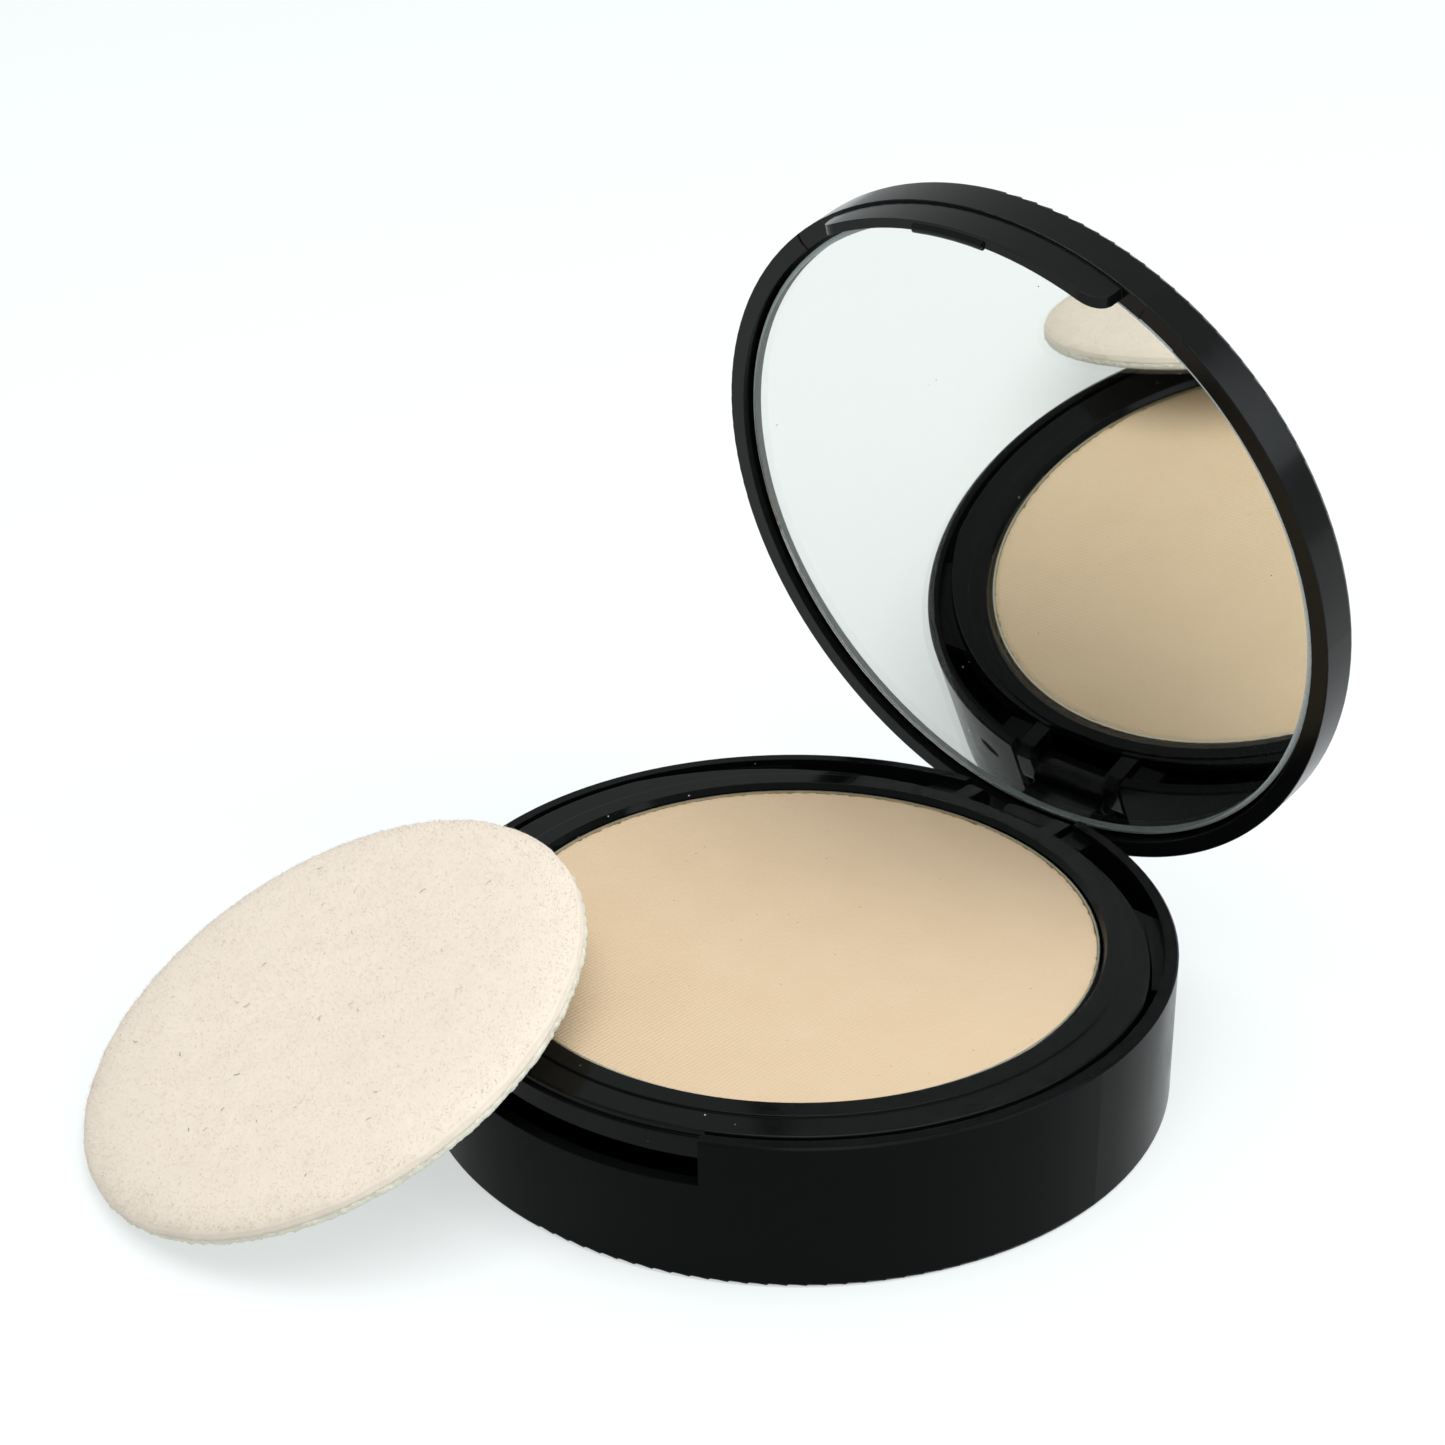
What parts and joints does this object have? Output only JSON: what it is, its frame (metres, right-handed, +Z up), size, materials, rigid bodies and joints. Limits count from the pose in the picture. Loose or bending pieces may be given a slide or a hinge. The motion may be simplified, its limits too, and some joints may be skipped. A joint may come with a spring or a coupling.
{
  "type": "powder compact",
  "caption": "Round pressed-powder compact with a mirrored hinged lid, a lift-up tray holding a metal pan of powder, a puff compartment below and a loose round puff.",
  "frame": {"origin": "middle of the flat underside of the base, on the table", "axes": "+Z up out of the base, +Y towards the hinge, so the thumb cut faces -Y; +X to the right seen from the front"},
  "size_m": [0.088, 0.1077, 0.0827],
  "materials": {
    "base_plastic": "gloss moulded ABS",
    "pin_steel": "drawn wire, bright",
    "tray_plastic": "gloss moulded ABS",
    "glue": "set hot-melt glue",
    "pan_metal": "pressed sheet, bright cut edge",
    "powder": "pressed powder, matt, faint woven emboss",
    "lid_plastic": "gloss moulded ABS",
    "tape": "foam tape",
    "silvering": "silvered",
    "glass": "clear float glass, ground edge",
    "foam": "fine open foam",
    "velour": "short cream velour pile"
  },
  "bodies": {
    "base": {"base_shell": "base_plastic", "hinge_pin": "pin_steel"},
    "tray": {"inner_tray": "tray_plastic", "pan_glue": "glue", "powder_pan": "pan_metal", "powder_cake": "powder"},
    "lid": {"lid_shell": "lid_plastic", "mirror_tape": "tape", "mirror_silvering": "silvering", "mirror_glass": "glass"},
    "puff": {"puff_foam": "foam", "puff_velour": "velour"}
  },
  "joints": [
    {"name": "tray_hinge", "type": "hinge", "parent": "base", "child": "tray", "pos_m": [0, 0.0348, 0.0106], "axis": [-1, 0, 0], "range_deg": [0, 28]},
    {"name": "lid_hinge", "type": "hinge", "parent": "tray", "child": "lid", "pos_m": [0, 0.0348, 0.0106], "axis": [-1, 0, 0], "range_deg": [-77.9, 12]},
    {"name": "puff_slide", "type": "slide", "parent": "tray", "child": "puff", "axis": [-0.8988, 0.4384, 0], "range_m": [-0.013, 0.082]}
  ],
  "couplings": [
    {"joint": "puff_slide", "follows": "lid_hinge", "m_per_rad": -0.06}
  ]
}
